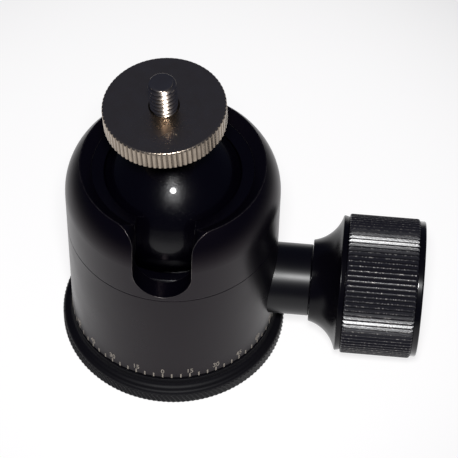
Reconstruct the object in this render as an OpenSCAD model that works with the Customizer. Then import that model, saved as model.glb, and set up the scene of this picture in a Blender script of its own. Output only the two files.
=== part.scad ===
// Tripod ball head with a panning base, a drop notch, one clamping knob and a
// screw-down camera platform. Millimetres, +Z up. The origin is the centre of the
// tripod thread's mouth, on the face that stands on the tripod. The drop notch and
// the zero of the pan scale face -Y, the main knob points to +X.

/* [Body] */
// Outer diameter of both housings
body_d = 50; // [48:0.5:54]
// Height of the lower housing
lower_h = 31; // [30:0.1:34]
// Height of the upper housing, from the seam to the rim
upper_h = 19.5; // [18.5:0.1:21]
// Straight part of the upper housing below the dome
shoulder_h = 10.2; // [9.6:0.1:11]
// Radius of the dome's arc
dome_r = 13.9; // [12.5:0.1:15]
// Wall of the lower housing
wall = 4.5; // [4.2:0.1:5]
// Overlap of the screwed joint between the housings
joint_h = 4; // [3:0.1:5]
// Wall of the upper housing's screwed spigot
spigot_wall = 1.7; // [1.4:0.1:2]
// Chamfer on the edges that meet at the seam
seam_chamfer = 0.15; // [0.05:0.05:0.3]
// Chamfer on the lower housing's bottom edge
skirt_chamfer = 0.35; // [0.1:0.05:0.6]

/* [Drop notch and collar] */
// Width of the drop notch
notch_w = 13.4; // [12.4:0.1:14.5]
// Radius that opens the notch at the rim
notch_flare = 4; // [2:0.5:5]
// Outer diameter of the collar ring
collar_d = 37.4; // [37:0.1:38.4]
// Depth of the funnel between the rim and the collar ring
funnel_h = 1.9; // [1.2:0.1:2.4]
// Fall of the collar ring's top face towards the ball
collar_fall = 0.65; // [0.3:0.05:0.9]
// Height of the collar ring at its outer edge
collar_h = 4; // [3:0.1:4.6]
// Wall of the upper seat ring outside the ball
seat_wall = 1.8; // [1.6:0.1:2]
// Height of the upper seat ring's lower edge above the ball's centre
seat_lift = 0.8; // [0.4:0.1:2]

/* [Ball and stem] */
// Diameter of the ball
ball_d = 36; // [35:0.1:36.4]
// Height of the ball's centre above the seam
ball_rise = 8; // [7.6:0.1:8.6]
// Diameter of the stem
neck_d = 11; // [10:0.1:12]
// Distance from the ball's centre to the platform's seat on the stem
platform_rise = 27.5; // [26.8:0.1:30]
// Diameter of the flange that the platform sits on
flange_d = 17; // [14:0.5:20]
// Thickness of that flange
flange_t = 1.1; // [0.8:0.1:1.4]
// Thread that holds the stem in the ball
stem_thread_d = 6; // [5:0.5:7]
// Depth of that thread below the flat on the ball
stem_thread_h = 11; // [8:0.5:13]
// Depth of the stud in the stem
stud_in = 7.7; // [6:0.1:8]
// Lean of the stem towards -X at rest
lean_side = 3; // [0:0.5:6]
// Lean of the stem towards the notch at rest
lean_front = 2.5; // [0:0.5:6]

/* [Camera platform] */
// Diameter of the knurled platform
platform_d = 28; // [25:0.5:32]
// Thickness of the platform
platform_t = 5.4; // [4:0.1:7]
// Teeth in the platform's knurl
platform_teeth = 75; // [60:1:90]
// Depth of the platform's knurl
platform_knurl = 0.35; // [0.2:0.05:0.5]
// Chamfer on the platform's edges
platform_chamfer = 0.3; // [0.2:0.05:0.8]
// Diameter of the countersink round the stud
sink_d = 7.6; // [7:0.1:9]
// Diameter of the camera stud, a 1/4 inch thread
stud_d = 6.35; // [6.35:0.01:6.4]
// Height of the stud above the platform
stud_out = 7.8; // [5:0.1:9]
// Chamfer on the stud's tip
stud_chamfer = 1.1; // [0.4:0.1:1.2]
// Height of the relief groove where the stud leaves the platform
stud_groove_h = 1; // [0.8:0.1:1.4]
// Depth of that groove
stud_groove_t = 0.6; // [0.4:0.1:0.8]
// Height of the groove's upper edge above the platform
stud_groove_rise = 0.3; // [0.2:0.05:0.4]
// Diameter of the grub screw that locks the stud
grub_d = 3; // [2.5:0.5:3]

/* [Pan base] */
// Overhang of the knurled base beyond the body
base_lip = 2.4; // [2:0.1:4]
// Height of the base's flange
flange_h = 6.5; // [5.6:0.1:7]
// Height of the knurled band
band_h = 3.1; // [2:0.1:3.2]
// Radius that rounds the base above the band
round_r = 1.1; // [0.8:0.1:1.4]
// Chamfer at the bottom edge
foot_chamfer = 0.4; // [0.2:0.05:0.6]
// Step from the body's side in to the boss that the housing turns on
boss_step = 7; // [6.5:0.1:7.5]
// Thickness of the glide washer
glide_t = 0.75; // [0.5:0.05:1]
// Step from the housing's skirt in to the glide washer
glide_step = 0.6; // [0.3:0.1:1.2]
// Diameter of the tripod thread, 3/8 inch
tripod_d = 9.525; // [9.5:0.005:9.55]
// Outer diameter of the thread insert
insert_d = 15; // [13:0.5:18]
// Web that closes the insert's bore at its top
insert_web = 0.8; // [0.6:0.1:1.2]
// Wire diameter of the snap ring that holds the base on
snap_wire = 0.7; // [0.5:0.05:0.8]
// Height of the snap ring above the housing's bottom
snap_rise = 0.75; // [0.6:0.05:0.8]

/* [Main knob and spindle] */
// Height of the spindle above the housing's bottom
spindle_rise = 10.4; // [9.8:0.1:11]
// Diameter of the spindle
spindle_d = 8; // [7:0.5:8]
// Diameter of the spindle's inner thread
thread_d = 6; // [5:0.5:6]
// Diameter of the sleeve that carries the spindle
sleeve_d = 17.3; // [15:0.1:17.5]
// Length of the sleeve outside the body
sleeve_out = 8.4; // [7:0.1:10]
// Depth of the sleeve's pocket in the body
pocket_t = 1.6; // [1.55:0.05:2]
// Diameter of the sleeve's screwed spigot
sleeve_spigot_d = 13; // [12:0.1:13.4]
// Diameter of the hub's small end
hub_d = 19.7; // [18:0.1:21]
// Radius of the hub's flare
flare_r = 8.9; // [8:0.1:10]
// Distance from the hub's small end back to the centre of the flare's arc
flare_in = 1.8; // [1:0.1:2.2]
// Width of the smooth rims at both ends of the grip
rim_w = 1.45; // [1:0.05:2]
// Step from the grip down to the rims
rim_step = 0.45; // [0.3:0.05:0.8]
// Chamfer on the rims' outer edges
rim_chamfer = 0.4; // [0.2:0.05:0.6]
// Diameter over the knob's knurl
knob_d = 33.7; // [33:0.1:33.7]
// Length of the knurled grip
grip_len = 16.9; // [12:0.1:20]
// Wall of the grip
grip_wall = 4.8; // [3:0.1:6]
// Teeth in the grip's knurl
knob_teeth = 88; // [70:1:100]
// Depth of the grip's knurl
knob_knurl = 0.4; // [0.2:0.05:0.6]
// Diameter of the knob screw
knob_screw_d = 4; // [3:0.5:5]
// Depth of the knob screw in the spindle
knob_screw_in = 8; // [6:0.5:9]
// Thickness of the spindle's thrust washer
washer_t = 0.8; // [0.6:0.1:1]
// Thickness of the spindle's circlip
clip_t = 0.7; // [0.5:0.1:0.9]
// Opening of the spindle's circlip
clip_open = 2; // [1.5:0.1:3]
// Depth of the dish turned in the end cap
dish_t = 0.5; // [0.3:0.1:0.8]

/* [Clamp] */
// Length of the wedge
wedge_len = 18; // [15:0.5:20]
// Width of the wedge
wedge_w = 14; // [12:0.5:15]
// Slope of the wedge
wedge_slope = 10; // [8:0.5:12]
// Metal between the spindle's thread and the wedge's sole
wedge_sole = 1.2; // [0.8:0.1:1.4]
// Metal over the spindle's thread at the wedge's thin end
wedge_roof = 1.5; // [1.2:0.1:2]
// Thickness of the wedge's tray
tray_t = 0.85; // [0.6:0.05:1]
// Height of the tray's two rails
rail_h = 2.6; // [1.5:0.1:3]
// Width of each rail
rail_w = 1.4; // [1:0.1:2]
// Height of the cup's rim above the seam
cup_rim = 1.5; // [0.5:0.1:2]
// Height of the cup's underside above the spindle's axis
cup_foot = 4.7; // [4.4:0.1:5]
// Thickness of the ball's liner
liner_t = 0.7; // [0.4:0.1:0.8]
// Reach of the liner up the ball, from straight below
liner_angle = 38; // [30:1:40]
// Diameter of the guide pins
pin_d = 3; // [2.5:0.1:3.2]
// Distance from the axis to each guide pin
pin_y = 13; // [12.5:0.1:14]
// Reach of the guide pins into the cup
pin_in = 5.5; // [4:0.5:7]
// Wire diameter of the preload springs
spring_wire = 0.7; // [0.5:0.05:0.8]
// Turns of the preload springs
spring_turns = 6; // [4:1:8]
// Section of the cup's O-ring
oring_d = 1.2; // [1:0.1:1.4]
// Height of the O-ring above the cup's underside
oring_rise = 8.4; // [7:0.1:10]

/* [Pan lock] */
// Diameter of the pan lock knob
pan_knob_d = 14; // [12:0.5:15]
// Length of the pan lock knob
pan_knob_len = 8.8; // [7:0.1:12]
// Distance from the base's edge to the pan lock knob
pan_knob_off = 0.8; // [0.6:0.1:1.5]
// Teeth in the pan lock knob's knurl
pan_teeth = 40; // [30:1:50]
// Depth of the pan lock knob's knurl
pan_knurl = 0.35; // [0.2:0.05:0.5]
// Diameter of the pan lock screw
pan_screw_d = 4; // [3.5:0.1:4.2]
// Diameter of the pan knob's neck
pan_neck_d = 6.4; // [5.5:0.1:6.6]
// Diameter of the brake shoe's tip
shoe_tip_d = 2.6; // [2:0.1:2.8]
// Depth of the brake groove in the boss
groove_t = 1.6; // [1.2:0.1:2]
// Rim of the boss above the brake groove
boss_rim = 0.7; // [0.5:0.1:0.9]

/* [Clearances] */
// Radial clearance of turning and sliding fits
run_gap = 0.05; // [0.02:0.01:0.1]
// Clearance between the ball, its liner and its seats
ball_gap = 0.2; // [0.15:0.05:0.25]
// Clearance between flat faces that slide or turn on each other
face_gap = 0.05; // [0.02:0.01:0.1]
// Axial clearance between the boss and the parts above it
boss_gap = 0.3; // [0.2:0.05:0.4]
// Axial clearance between the knob screw's head and the end cap over it
cap_gap = 0.2; // [0.1:0.05:0.4]
// Room beyond the tip of a screw or pin in its hole
tip_room = 0.7; // [0.3:0.1:1]

/* [Hidden] */
$fn = 96;
far = 100;                       // longer than anything that is cut

body_r = body_d / 2;
bore_r = body_r - wall;
base_r = body_r + base_lip;
ball_r = ball_d / 2;
knob_r = knob_d / 2;
stud_r = stud_d / 2;
thread_r = thread_d / 2;
spindle_r = spindle_d / 2;
platform_r = platform_d / 2;

skirt_z = flange_h + glide_t + face_gap;
seam_z = skirt_z + lower_h;
rim_z = seam_z + upper_h;
shoulder_z = seam_z + shoulder_h;
dome_x = body_r - dome_r;        // centre of the dome's arc
rim_r = dome_x + sqrt(pow(dome_r, 2) - pow(rim_z - shoulder_z, 2));
collar_r = collar_d / 2;
collar_bore_r = collar_r + run_gap;
funnel_z = rim_z - funnel_h;     // outer edge of the collar ring's top
collar_z = funnel_z - collar_h;  // underside of the collar ring
spigot_r = bore_r + spigot_wall;
spigot_z = seam_z - joint_h;

ball_z = seam_z + ball_rise;
seat_sphere_r = ball_r + ball_gap;
seat_r = seat_sphere_r + seat_wall;
seat_z = ball_z + seat_lift;
liner_r = seat_sphere_r + liner_t;
cup_sphere_r = liner_r + ball_gap;

spindle_z = skirt_z + spindle_rise;
wedge_z = spindle_z - thread_r - wedge_sole;
tray_top_z = wedge_z - face_gap;
ledge_z = tray_top_z - tray_t;
boss_z = ledge_z - boss_gap;
boss_r = body_r - boss_step;
wedge_mid_z = spindle_z + thread_r + wedge_roof + wedge_len / 2 * tan(wedge_slope);
cup_r = bore_r - 2 * run_gap;
cup_z = spindle_z + cup_foot;
cup_top_z = seam_z + cup_rim;
oring_z = cup_z + oring_rise;
oring_r = bore_r - run_gap - oring_d / 2;

shoe_r = pan_screw_d / 2;
pan_z = boss_z - boss_rim - shoe_tip_d / 2 - 2 * run_gap;
groove_h = shoe_tip_d + 4 * run_gap;
groove_r = boss_r - groove_t;
shoe_step_y = boss_r + snap_wire / 2 + 2 * run_gap;   // clear of the snap ring
shoe_end_y = body_r - wall - 0.6;
snap_z = skirt_z + snap_rise;

pocket_x = body_r - pocket_t;
sleeve_x = body_r + sleeve_out;
sleeve_end_x = bore_r + clip_t + 3 * face_gap;   // room for the circlip in the wall
hub_x = sleeve_x + face_gap;
washer_r = hub_d / 2 - 2.5;
clip_x = sleeve_end_x - clip_t - face_gap;
clip_r = sleeve_spigot_d / 2 - 0.7;
spindle_step_x = wedge_len / 2 + 8;
rim_r_knob = knob_r - rim_step;
flare_end_r = rim_r_knob - rim_chamfer;
flare_y = hub_d / 2 + sqrt(pow(flare_r, 2) - pow(flare_in, 2));   // centre of the flare's arc
flare_h = sqrt(pow(flare_r, 2) - pow(flare_y - flare_end_r, 2)) - flare_in;
grip_x = hub_x + flare_h + rim_w;
grip_end_x = grip_x + grip_len;
cap_x = grip_end_x + face_gap;
core_r = knob_r - grip_wall;
spindle_end_x = grip_end_x - 4.4;
head_x = grip_end_x - knob_screw_d / 2 - cap_gap;   // seat of the knob screw's head
knob_end_x = cap_x + rim_w;

flat_z = sqrt(pow(ball_r, 2) - pow(neck_d / 2 + 0.4, 2));   // flat on the ball
platform_z = platform_rise + face_gap;
platform_top_z = platform_z + platform_t;
stud_top_z = platform_top_z + stud_out;
grub_z = flat_z + 5.2;

// ---- helpers -----------------------------------------------------------------

// Turns the children's +Z to +X, on the spindle's axis.
module on_spindle() {
    translate([0, 0, spindle_z]) rotate([0, 90, 0]) children();
}

// Turns the children's +Z to +Y, on the pan lock's axis.
module on_pan_lock() {
    translate([0, 0, pan_z]) rotate([-90, 0, 0]) children();
}

// The ball's own frame: origin at the ball's centre, +Z along the leaning stem.
module on_stem() {
    translate([0, 0, ball_z]) rotate([0, -lean_side, 0]) rotate([lean_front, 0, 0]) children();
}

// A cylinder between two heights.
module rod(r, z0, z1) {
    translate([0, 0, z0]) cylinder(r = r, h = z1 - z0);
}

// A cylinder between two heights whose ends are chamfered by c0 and c1.
module edged_rod(r, z0, z1, c0, c1) {
    rotate_extrude() polygon([[0, z0], [r - c0, z0], [r, z0 + c0], [r, z1 - c1], [r - c1, z1], [0, z1]]);
}

// A ring of rectangular section between two heights.
module ring(r_in, r_out, z0, z1) {
    rotate_extrude() translate([r_in, z0]) square([r_out - r_in, z1 - z0]);
}

// Outline of a straight knurl: n teeth of depth t round the radius r.
function teeth(r, n, t) =
    [for (i = [0 : 2 * n - 1]) (i % 2 == 0 ? r : r - t) * [cos(i * 180 / n), sin(i * 180 / n)]];

// A straight-knurled disc with chamfered edges. Only the chamfers of the turned
// blank cut the teeth, so their tips stay sharp.
module knurled(r, z0, z1, n, t, c) {
    intersection() {
        translate([0, 0, z0]) linear_extrude(z1 - z0) polygon(teeth(r, n, t));
        edged_rod(r + 1, z0, z1, c + 1, c + 1);
    }
}

// Space that the drop notch takes out of the rings round the ball.
module notch_slot() {
    translate([0, 0, ball_z]) rotate([90, 0, 0]) cylinder(d = notch_w, h = far);
    translate([-notch_w / 2, -far, ball_z]) cube([notch_w, far, far]);
}

// The notch with its corners opened out at the rim.
module flared_notch() {
    notch_slot();
    rotate([90, 0, 0]) linear_extrude(far) difference() {
        translate([-notch_w / 2 - notch_flare, rim_z - notch_flare])
            square([notch_w + 2 * notch_flare, 2 * notch_flare]);
        for (s = [-1, 1]) translate([s * (notch_w / 2 + notch_flare), rim_z - notch_flare])
            circle(r = notch_flare);
    }
}

// Places the children at both guide pins.
module at_pins() {
    for (s = [-1, 1]) translate([0, s * pin_y, 0]) children();
}

// Places the children, whose +Z points outwards, at both housing lock screws.
module at_lock_screws() {
    for (a = [60, 120]) rotate([0, 0, a]) translate([0, 0, seam_z - joint_h / 2])
        rotate([0, 90, 0]) children();
}

// One round of a coil spring: wire section points at step i of n.
function coil_point(i, k, n, turns, r, wire_r, z0, rise) =
    let (a = 360 * turns * i / n, b = 60 * k, rr = r + wire_r * cos(b))
    [rr * cos(a), rr * sin(a), z0 + rise * i / n + wire_r * sin(b)];

// A coil spring of round wire between two heights.
module coil(r, wire_r, z0, z1, turns) {
    n = 14 * turns;
    points = [for (i = [0 : n]) for (k = [0 : 5])
        coil_point(i, k, n, turns, r, wire_r, z0 + wire_r, z1 - z0 - 2 * wire_r)];
    sides = [for (i = [0 : n - 1]) for (k = [0 : 5])
        [6 * i + k, 6 * (i + 1) + k, 6 * (i + 1) + (k + 1) % 6, 6 * i + (k + 1) % 6]];
    ends = [[0, 1, 2, 3, 4, 5], [for (k = [5 : -1 : 0]) 6 * n + k]];
    polyhedron(points, concat(sides, ends));
}

// ---- pan base ----------------------------------------------------------------

module base_profile() {
    cove = base_r - round_r - body_r;
    difference() {
        union() {
            polygon([[0, 0], [base_r - foot_chamfer, 0], [base_r, foot_chamfer], [base_r, band_h],
                     [base_r - round_r, band_h + round_r], [body_r, band_h + round_r],
                     [body_r, flange_h], [0, flange_h]]);
            translate([base_r - round_r, band_h]) circle(r = round_r);
            translate([body_r, band_h + round_r]) square([cove, min(cove, flange_h - band_h - round_r)]);
        }
        translate([body_r + cove, band_h + round_r + cove]) circle(r = cove);
    }
}

module pan_base() {
    color("#26262a") difference() {
        union() {
            rotate_extrude() base_profile();
            rod(boss_r, flange_h, boss_z);
        }
        rod(insert_d / 2 + run_gap, -1, boss_z - insert_web);
        ring(groove_r, boss_r + 1, pan_z - groove_h / 2, pan_z + groove_h / 2);
        ring(boss_r - snap_wire / 2 - run_gap, boss_r + 1,
             snap_z - snap_wire / 2 - run_gap, snap_z + snap_wire / 2 + run_gap);
    }
}

module tripod_thread_insert() {
    color("#8d8d90") difference() {
        rod(insert_d / 2, 0, boss_z - insert_web - face_gap);
        rod(tripod_d / 2, -1, boss_z);
    }
}

module pan_glide_washer() {
    color("#17171a") ring(boss_r + 4 * run_gap, body_r - glide_step, flange_h, flange_h + glide_t);
}

module pan_snap_ring() {
    color("#9a9a9c") translate([0, 0, snap_z]) rotate([0, 0, 100]) rotate_extrude(angle = 340)
        translate([boss_r, 0]) circle(d = snap_wire);
}

// ---- housings ----------------------------------------------------------------

module lower_housing() {
    color("#2a2a2e") difference() {
        edged_rod(body_r, skirt_z, seam_z, skirt_chamfer, seam_chamfer);
        rod(boss_r + run_gap, skirt_z - 1, ledge_z);
        rod(bore_r, ledge_z, seam_z + 1);
        rod(spigot_r + run_gap, spigot_z - face_gap, seam_z + 1);
        ring(boss_r - 1, boss_r + snap_wire / 2 + run_gap,
             snap_z - snap_wire / 2 - run_gap, snap_z + snap_wire / 2 + run_gap);
        on_spindle() rod(sleeve_spigot_d / 2 + run_gap, bore_r - 2, far);
        on_spindle() rod(sleeve_d / 2 + run_gap, pocket_x, far);
        on_pan_lock() rod(shoe_r + run_gap, boss_r - 1, far);
        at_lock_screws() rod(grub_d / 2 + run_gap, spigot_r - 1, far);
    }
}

module dome_profile() {
    polygon([[0, spigot_z], [spigot_r, spigot_z], [spigot_r, seam_z], [body_r - seam_chamfer, seam_z],
             [body_r, seam_z + seam_chamfer], [body_r, shoulder_z], [0, shoulder_z]]);
    intersection() {
        translate([dome_x, shoulder_z]) circle(r = dome_r, $fn = 180);
        translate([0, shoulder_z]) square([body_r, rim_z - shoulder_z]);
    }
}

module upper_housing() {
    color("#1c1c20") difference() {
        rotate_extrude() dome_profile();
        rod(bore_r, spigot_z - 1, seat_z);
        rod(seat_r + run_gap, seat_z - 1, collar_z);
        rod(collar_bore_r, collar_z - 1, rim_z + 1);
        rotate_extrude() polygon([[0, funnel_z], [collar_bore_r, funnel_z], [rim_r - 0.2, rim_z],
                                  [rim_r - 0.2, rim_z + 1], [0, rim_z + 1]]);
        flared_notch();
        at_lock_screws() rod(grub_d / 2 + run_gap, spigot_r - 1, spigot_r + 1);
    }
}

module housing_lock_screws() {
    color("#3a3a3e") at_lock_screws() difference() {
        edged_rod(grub_d / 2, spigot_r - 0.9, body_r - 0.3, 0.2, 0.2);
        translate([0, 0, body_r - 1.8]) cylinder(d = grub_d / 2, h = far, $fn = 6);
    }
}

module upper_seat_ring() {
    color("#17171a") difference() {
        rod(seat_r, seat_z, collar_z - face_gap);
        translate([0, 0, ball_z]) sphere(r = seat_sphere_r);
        notch_slot();
    }
}

module collar_ring() {
    color("#151518") difference() {
        rotate_extrude() polygon([[0, collar_z], [collar_r, collar_z], [collar_r, funnel_z],
                                  [collar_r - 2.7, funnel_z - collar_fall], [0, funnel_z - collar_fall]]);
        translate([0, 0, ball_z]) sphere(r = seat_sphere_r);
        notch_slot();
    }
}

// ---- clamp -------------------------------------------------------------------

module wedge_tray() {
    color("#8a8a8d") difference() {
        union() {
            rod(bore_r - run_gap, ledge_z, tray_top_z);
            for (s = [-1, 1]) translate([-wedge_len / 2 - 3,
                s * (wedge_w / 2 + run_gap + rail_w / 2) - rail_w / 2, ledge_z])
                cube([wedge_len + 6, rail_w, tray_t + rail_h]);
        }
        at_pins() rod(pin_d / 2 + run_gap, ledge_z - 1, tray_top_z + 1);
    }
}

module guide_pins() {
    color("#b5b5b8") at_pins() edged_rod(pin_d / 2, ledge_z, cup_z + pin_in, 0.2, 0.4);
}

module preload_springs() {
    color("#a8a8aa") at_pins() coil(pin_d / 2 + 1.1, spring_wire / 2, tray_top_z + face_gap,
                                    cup_z - face_gap, spring_turns);
}

// Outline, in X and height, of what lies under the wedge's slope.
module under_slope(x0, x1, z0, lift) {
    polygon([[x0, z0], [x0, wedge_mid_z - x0 * tan(wedge_slope) + lift],
             [x1, wedge_mid_z - x1 * tan(wedge_slope) + lift], [x1, z0]]);
}

module clamp_wedge() {
    color("#77777b") difference() {
        translate([0, wedge_w / 2, 0]) rotate([90, 0, 0]) linear_extrude(wedge_w)
            under_slope(-wedge_len / 2, wedge_len / 2, wedge_z, 0);
        on_spindle() rod(thread_r + run_gap, -far, far);
    }
}

module pressure_cup() {
    channel_w = wedge_w + 8 * run_gap;
    color("#26262a") difference() {
        edged_rod(cup_r, cup_z, cup_top_z, 0.3, 0.3);
        translate([0, 0, ball_z]) sphere(r = cup_sphere_r);
        translate([0, channel_w / 2, 0]) rotate([90, 0, 0]) linear_extrude(channel_w)
            under_slope(-body_r, body_r, cup_z - 5, face_gap);
        at_pins() rod(pin_d / 2 + run_gap, cup_z - 1, cup_z + pin_in + tip_room);
        ring(oring_r - oring_d / 2, cup_r + 1, oring_z - oring_d / 2 - run_gap,
             oring_z + oring_d / 2 + run_gap);
    }
}

module cup_o_ring() {
    color("#111113") translate([0, 0, oring_z]) rotate_extrude()
        translate([oring_r, 0]) circle(d = oring_d - 2 * run_gap);
}

// A cap of a spherical shell under the ball. It follows the ball's side tilt.
module seat_liner() {
    color("#1b1b1e") translate([0, 0, ball_z]) rotate([0, -lean_side, 0]) rotate_extrude()
        intersection() {
            difference() {
                circle(r = liner_r, $fn = 180);
                circle(r = seat_sphere_r, $fn = 180);
            }
            polygon([[0, 0], [0, -far], [far * sin(liner_angle), -far * cos(liner_angle)]]);
        }
}

// ---- main knob ---------------------------------------------------------------

module spindle_sleeve() {
    color("#232327") on_spindle() difference() {
        union() {
            edged_rod(sleeve_d / 2, pocket_x, sleeve_x, 0, 0.2);
            rod(sleeve_spigot_d / 2, sleeve_end_x, pocket_x + 1);
        }
        rod(spindle_r + run_gap, 0, far);
    }
}

module main_spindle() {
    color("#9c9ca0") on_spindle() difference() {
        union() {
            edged_rod(thread_r, -wedge_len / 2 + 0.5, spindle_step_x + 1, 0.4, 0);
            edged_rod(spindle_r, spindle_step_x, spindle_end_x, 0.3, 0.3);
        }
        ring(spindle_r - 0.7, spindle_r + 1, clip_x - run_gap, clip_x + clip_t + run_gap);
        rod(knob_screw_d / 2 + run_gap, spindle_end_x - knob_screw_in - tip_room, far);
    }
}

module spindle_circlip() {
    color("#5f5f64") on_spindle() difference() {
        ring(spindle_r - 0.7 + run_gap, clip_r, clip_x, clip_x + clip_t);
        translate([0, -clip_open / 2, 0]) cube([far, clip_open, far]);
    }
}

module spindle_washer() {
    color("#b08d4a") on_spindle() ring(spindle_r + run_gap, washer_r, sleeve_x + face_gap,
                                       sleeve_x + face_gap + washer_t);
}

module hub_profile() {
    difference() {
        union() {
            translate([0, hub_x]) square([flare_end_r, flare_h]);
            polygon([[0, hub_x + flare_h], [flare_end_r, hub_x + flare_h],
                     [rim_r_knob, hub_x + flare_h + rim_chamfer], [rim_r_knob, grip_x], [0, grip_x]]);
            translate([0, grip_x]) square([core_r, grip_len]);
        }
        translate([flare_y, hub_x - flare_in]) circle(r = flare_r);
    }
}

module knob_hub() {
    color("#202024") on_spindle() difference() {
        rotate_extrude() hub_profile();
        rod(washer_r + run_gap, hub_x - 1, sleeve_x + 2 * face_gap + washer_t);
        rod(spindle_r + run_gap, hub_x - 1, spindle_end_x + face_gap);
        rod(knob_screw_d / 2 + run_gap, 0, far);
        rod(knob_screw_d + run_gap, head_x, far);
    }
}

module knob_grip() {
    color("#303035") on_spindle() difference() {
        knurled(knob_r, grip_x + face_gap, grip_end_x, knob_teeth, knob_knurl, knob_knurl);
        rod(core_r + run_gap, 0, far);
    }
}

module knob_end_cap() {
    color("#202024") on_spindle() difference() {
        edged_rod(rim_r_knob, cap_x, knob_end_x, 0, rim_chamfer);
        rod(core_r, knob_end_x - dish_t, far);
    }
}

module knob_screw() {
    color("#48484d") on_spindle() difference() {
        union() {
            rod(knob_screw_d / 2, spindle_end_x - knob_screw_in, head_x + 1);
            edged_rod(knob_screw_d, head_x + face_gap, head_x + face_gap + knob_screw_d / 2, 0, 0.3);
        }
        translate([0, 0, head_x + face_gap + 0.5]) cylinder(d = knob_screw_d, h = far, $fn = 6);
    }
}

// ---- pan lock ----------------------------------------------------------------

module pan_brake_shoe() {
    color("#c9a227") on_pan_lock() union() {
        rod(shoe_tip_d / 2, groove_r + face_gap, shoe_step_y + 0.1);
        rod(shoe_r, shoe_step_y, shoe_end_y);
    }
}

module pan_lock_screw() {
    color("#9c9ca0") on_pan_lock() edged_rod(shoe_r, shoe_end_y + face_gap,
                                             base_r + pan_knob_off + 4, 0.3, 0.3);
}

module pan_knob() {
    knob_y = base_r + pan_knob_off;
    color("#202024") on_pan_lock() difference() {
        union() {
            rod(pan_neck_d / 2, body_r + 0.4, knob_y + 1);
            knurled(pan_knob_d / 2, knob_y, knob_y + pan_knob_len, pan_teeth, pan_knurl, 0.6);
        }
        rod(shoe_r + run_gap, 0, knob_y + 4 + face_gap);
    }
}

// ---- ball, stem and platform ---------------------------------------------------

module ball() {
    color("#0b0b0d") on_stem() difference() {
        sphere(r = ball_r);
        rod(ball_r, flat_z, ball_r + 1);
        rod(stem_thread_d / 2 + run_gap, flat_z - stem_thread_h, ball_r + 1);
    }
}

module ball_stem() {
    color("#0f0f12") on_stem() difference() {
        union() {
            rod(stem_thread_d / 2, flat_z - stem_thread_h + tip_room, flat_z + 1);
            rod(neck_d / 2, flat_z + face_gap, platform_rise);
            edged_rod(flange_d / 2, platform_rise - flange_t, platform_rise, 0.3, 0.2);
        }
        rod(stud_r + run_gap, platform_rise - stud_in, far);
        translate([0, 0, grub_z]) rotate([-90, 0, 0]) rod(grub_d / 2 + run_gap, stud_r - 0.5, far);
    }
}

module stud_grub_screw() {
    color("#6d6d72") on_stem() translate([0, 0, grub_z]) rotate([-90, 0, 0]) difference() {
        rod(grub_d / 2, stud_r + run_gap, neck_d / 2 - 0.2);
        translate([0, 0, neck_d / 2 - 1.2]) cylinder(d = grub_d / 2, h = far, $fn = 6);
    }
}

module camera_stud() {
    groove_top_z = platform_top_z + stud_groove_rise;
    color("#c8c8cc") on_stem() difference() {
        edged_rod(stud_r, platform_rise - stud_in + 0.1, stud_top_z, 0.4, stud_chamfer);
        ring(stud_r - stud_groove_t, stud_r + 1, groove_top_z - stud_groove_h, groove_top_z);
    }
}

module camera_platform() {
    bore_r2 = stud_r + run_gap;
    sink = sink_d / 2 - bore_r2;
    color("#b7b3aa") on_stem() difference() {
        knurled(platform_r, platform_z, platform_top_z, platform_teeth, platform_knurl, platform_chamfer);
        rod(bore_r2, 0, far);
        rotate_extrude() polygon([[0, platform_top_z - sink], [bore_r2, platform_top_z - sink],
                                  [bore_r2 + sink + 1, platform_top_z + 1], [0, platform_top_z + 1]]);
    }
}

// ---- output --------------------------------------------------------------------

pan_base();
tripod_thread_insert();
pan_glide_washer();
pan_snap_ring();
lower_housing();
upper_housing();
housing_lock_screws();
upper_seat_ring();
collar_ring();
wedge_tray();
guide_pins();
preload_springs();
clamp_wedge();
pressure_cup();
cup_o_ring();
seat_liner();
spindle_sleeve();
main_spindle();
spindle_circlip();
spindle_washer();
knob_hub();
knob_grip();
knob_end_cap();
knob_screw();
pan_brake_shoe();
pan_lock_screw();
pan_knob();
ball();
ball_stem();
camera_stud();
stud_grub_screw();
camera_platform();
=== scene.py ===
"""Looks of a tripod ball head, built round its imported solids.

One Geometry Nodes tree turns the round pieces from their half sections and cuts
their knurls and the camera stud's thread. A second tree sets the ticks of the pan
scale. The housings and the inner pieces keep their solids and get their finishes in
their own material slots. Lengths are millimetres, and MM turns them to metres.
"""

import logging
import math
from dataclasses import asdict, dataclass, field
from enum import Enum
from functools import cache, partial
from typing import Any, Callable, Sequence

import bmesh
import bpy
from mathutils import Matrix, Vector


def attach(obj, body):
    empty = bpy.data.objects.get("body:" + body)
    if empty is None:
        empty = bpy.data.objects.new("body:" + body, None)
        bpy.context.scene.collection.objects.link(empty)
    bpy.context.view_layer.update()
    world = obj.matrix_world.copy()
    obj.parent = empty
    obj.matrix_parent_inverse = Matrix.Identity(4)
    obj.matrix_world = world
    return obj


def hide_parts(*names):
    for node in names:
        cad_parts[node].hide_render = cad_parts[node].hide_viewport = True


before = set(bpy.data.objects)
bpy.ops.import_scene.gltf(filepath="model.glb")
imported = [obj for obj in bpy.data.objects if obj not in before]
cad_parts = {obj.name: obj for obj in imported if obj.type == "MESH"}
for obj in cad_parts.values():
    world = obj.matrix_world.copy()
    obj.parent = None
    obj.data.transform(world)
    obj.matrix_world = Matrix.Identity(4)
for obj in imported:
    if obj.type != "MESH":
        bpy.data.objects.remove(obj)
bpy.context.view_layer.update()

LOG = logging.getLogger("ball_head")
MM = 0.001
SUPPORT = 0.12  # distance of the support rows that keep flats flat beside a curve
SHARP_DEG = 33.0  # edges that turn by more than this stay sharp
CHORD_DEG = 18.0  # the most that one chord of a fillet turns
WELD_M, TEXT_WELD_M = 1e-6, 1e-7  # points nearer than this, in metres, become one
PAST = 100.0  # a height that lies past every section

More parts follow.
